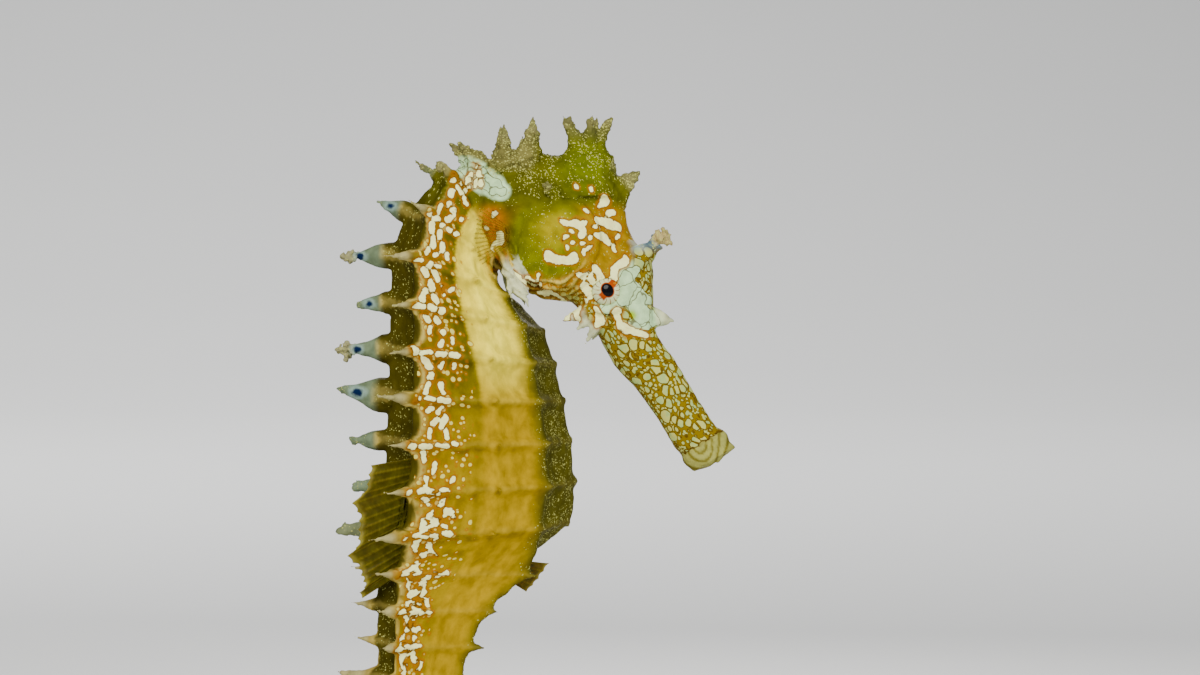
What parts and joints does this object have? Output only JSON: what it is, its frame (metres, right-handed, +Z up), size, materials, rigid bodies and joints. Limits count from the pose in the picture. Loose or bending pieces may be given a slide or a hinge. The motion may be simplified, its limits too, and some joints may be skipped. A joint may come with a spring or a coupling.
{
  "type": "seahorse model on a display stand",
  "caption": "Life-size still model of a spiny, long-snouted seahorse with a curled tail, held upright by a rod on a round wooden base.",
  "frame": {"origin": "centre of the stand base's underside", "axes": "+Z up, +X the way the belly faces, -Y the animal's right side, to which the head is turned"},
  "size_m": [0.056, 0.056, 0.0998],
  "materials": {
    "skin": "satin skin over bony rings, gold and olive with white dots and bars",
    "eye": "wet and glossy, orange iris with a dark pupil",
    "fin": "thin translucent web between rays",
    "stand_wood": "dark, turned and satin varnished",
    "stand_steel": "brushed"
  },
  "bodies": {
    "root": {"snout": "skin", "head": "skin", "coronet": "skin", "neck": "skin", "trunk_upper": "skin", "trunk_lower": "skin", "tail_1": "skin", "tail_2": "skin", "tail_3": "skin", "tail_4": "skin", "tail_5": "skin", "tail_6": "skin", "eye_left": "eye", "eye_right": "eye", "dorsal_fin": "fin", "anal_fin": "fin", "pectoral_fin_left": "fin", "pectoral_fin_right": "fin", "stand_base": "stand_wood", "stand_rod": "stand_steel"}
  },
  "joints": []
}
